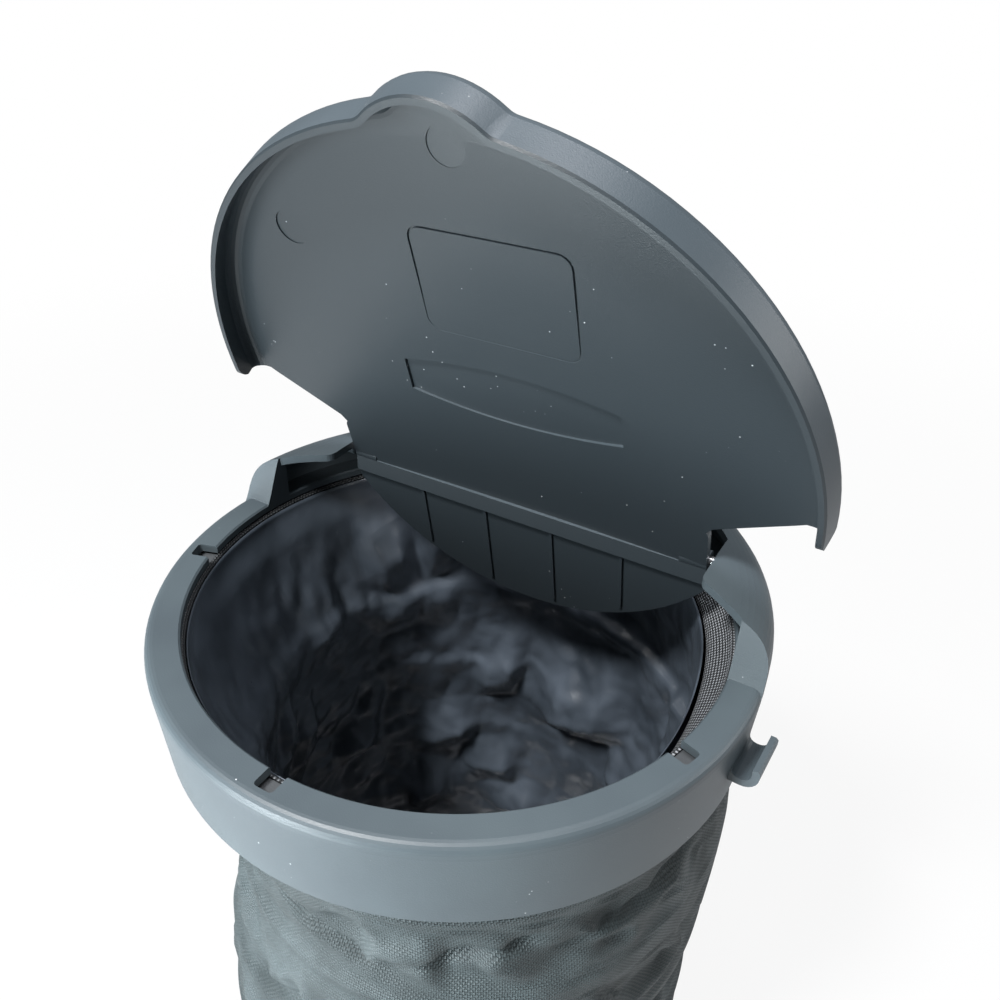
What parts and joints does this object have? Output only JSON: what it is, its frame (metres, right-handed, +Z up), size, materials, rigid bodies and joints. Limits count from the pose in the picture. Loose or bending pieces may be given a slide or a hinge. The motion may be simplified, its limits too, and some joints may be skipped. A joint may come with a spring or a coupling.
{
  "type": "car trash bin",
  "caption": "Collapsible round bin for a car: moulded ring with a hinged lid and side hooks over a spring-wire cloth body on a round base.",
  "frame": {"origin": "centre of the base's underside", "axes": "+Z up, lift tab of the lid towards -Y, lid hinge along X on the +Y side"},
  "size_m": [0.1838, 0.1708, 0.3345],
  "materials": {
    "shell": "fine matte",
    "inner_plastic": "matte",
    "pin_steel": "drawn wire",
    "screw_steel": "dark zinc",
    "cloth": "coated weave",
    "tape": "open weave",
    "film": "glossy crumpled film",
    "cap": "soft matte"
  },
  "bodies": {
    "base": {"base_shell": "shell", "base_board": "inner_plastic", "base_screws": "screw_steel", "outer_cloth": "cloth", "wire_casing": "cloth", "spring_wire": "pin_steel", "wire_tips": "cap", "lining": "film"},
    "ring": {"top_ring": "shell", "clamp_ring": "inner_plastic", "clamp_screws": "screw_steel", "hem_tape": "tape", "hinge_pin_left": "pin_steel", "hinge_pin_right": "pin_steel"},
    "lid": {"lid": "shell"}
  },
  "joints": [
    {"name": "collapse", "type": "slide", "parent": "base", "child": "ring", "axis": [0, 0, 1], "range_m": [-0.1607, 0], "stiffness_N_per_m": 60, "springref_m": 0.08, "deforming": ["outer_cloth", "wire_casing", "spring_wire", "wire_tips", "lining"]},
    {"name": "lid_hinge", "type": "hinge", "parent": "ring", "child": "lid", "pos_m": [0, 0.0334, 0.2124], "axis": [-1, 0, 0], "range_deg": [-71.6, 18.4]}
  ]
}
